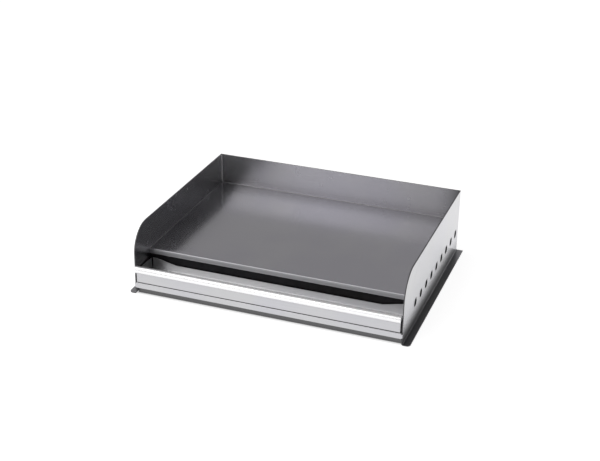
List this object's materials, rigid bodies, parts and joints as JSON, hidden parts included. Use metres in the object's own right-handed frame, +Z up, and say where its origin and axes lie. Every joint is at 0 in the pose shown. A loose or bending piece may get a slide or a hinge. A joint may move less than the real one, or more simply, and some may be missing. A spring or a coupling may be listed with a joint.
{
  "type": "flat top griddle",
  "caption": "Drop-on flat top griddle: thick steel plate in a three-sided stainless splash with vented sides, foot flanges and a slide-out front grease drawer.",
  "frame": {"origin": "on the resting surface, at the middle of the base of the whole object's box", "axes": "+X to the cook's right across the width, +Y from the drawer towards the back splash, +Z up"},
  "size_m": [0.642, 0.487, 0.156],
  "materials": {
    "brushed_stainless": "fine brushed stainless sheet",
    "polished_stainless": "bright polished stainless sheet",
    "seasoned_steel": "satin seasoned steel plate",
    "heated_steel": "heat-darkened mill steel",
    "plated_steel": "zinc-plated fixings"
  },
  "bodies": {
    "body": {"side_panel_left": "brushed_stainless", "side_panel_right": "brushed_stainless", "back_splash": "brushed_stainless", "griddle_plate": "seasoned_steel", "front_rail": "brushed_stainless", "heat_baffle": "heated_steel", "drawer_runner_left": "brushed_stainless", "drawer_runner_right": "brushed_stainless", "plate_stiffener_1": "heated_steel", "plate_stiffener_2": "heated_steel", "plate_stiffener_3": "heated_steel", "plate_bracket_left_front": "plated_steel", "plate_stud_left_front": "plated_steel", "plate_washer_left_front": "plated_steel", "plate_nut_left_front": "plated_steel", "plate_bracket_left_rear": "plated_steel", "plate_stud_left_rear": "plated_steel", "plate_washer_left_rear": "plated_steel", "plate_nut_left_rear": "plated_steel", "plate_bracket_right_front": "plated_steel", "plate_stud_right_front": "plated_steel", "plate_washer_right_front": "plated_steel", "plate_nut_right_front": "plated_steel", "plate_bracket_right_rear": "plated_steel", "plate_stud_right_rear": "plated_steel", "plate_washer_right_rear": "plated_steel", "plate_nut_right_rear": "plated_steel", "plate_bracket_back_left": "plated_steel", "plate_stud_back_left": "plated_steel", "plate_washer_back_left": "plated_steel", "plate_nut_back_left": "plated_steel", "plate_bracket_back_right": "plated_steel", "plate_stud_back_right": "plated_steel", "plate_washer_back_right": "plated_steel", "plate_nut_back_right": "plated_steel"},
    "drawer": {"drawer_pan": "brushed_stainless", "drawer_front": "polished_stainless"}
  },
  "joints": [
    {"name": "drawer_slide", "type": "slide", "parent": "body", "child": "drawer", "axis": [0, -1, 0], "range_m": [0, 0.07]}
  ]
}
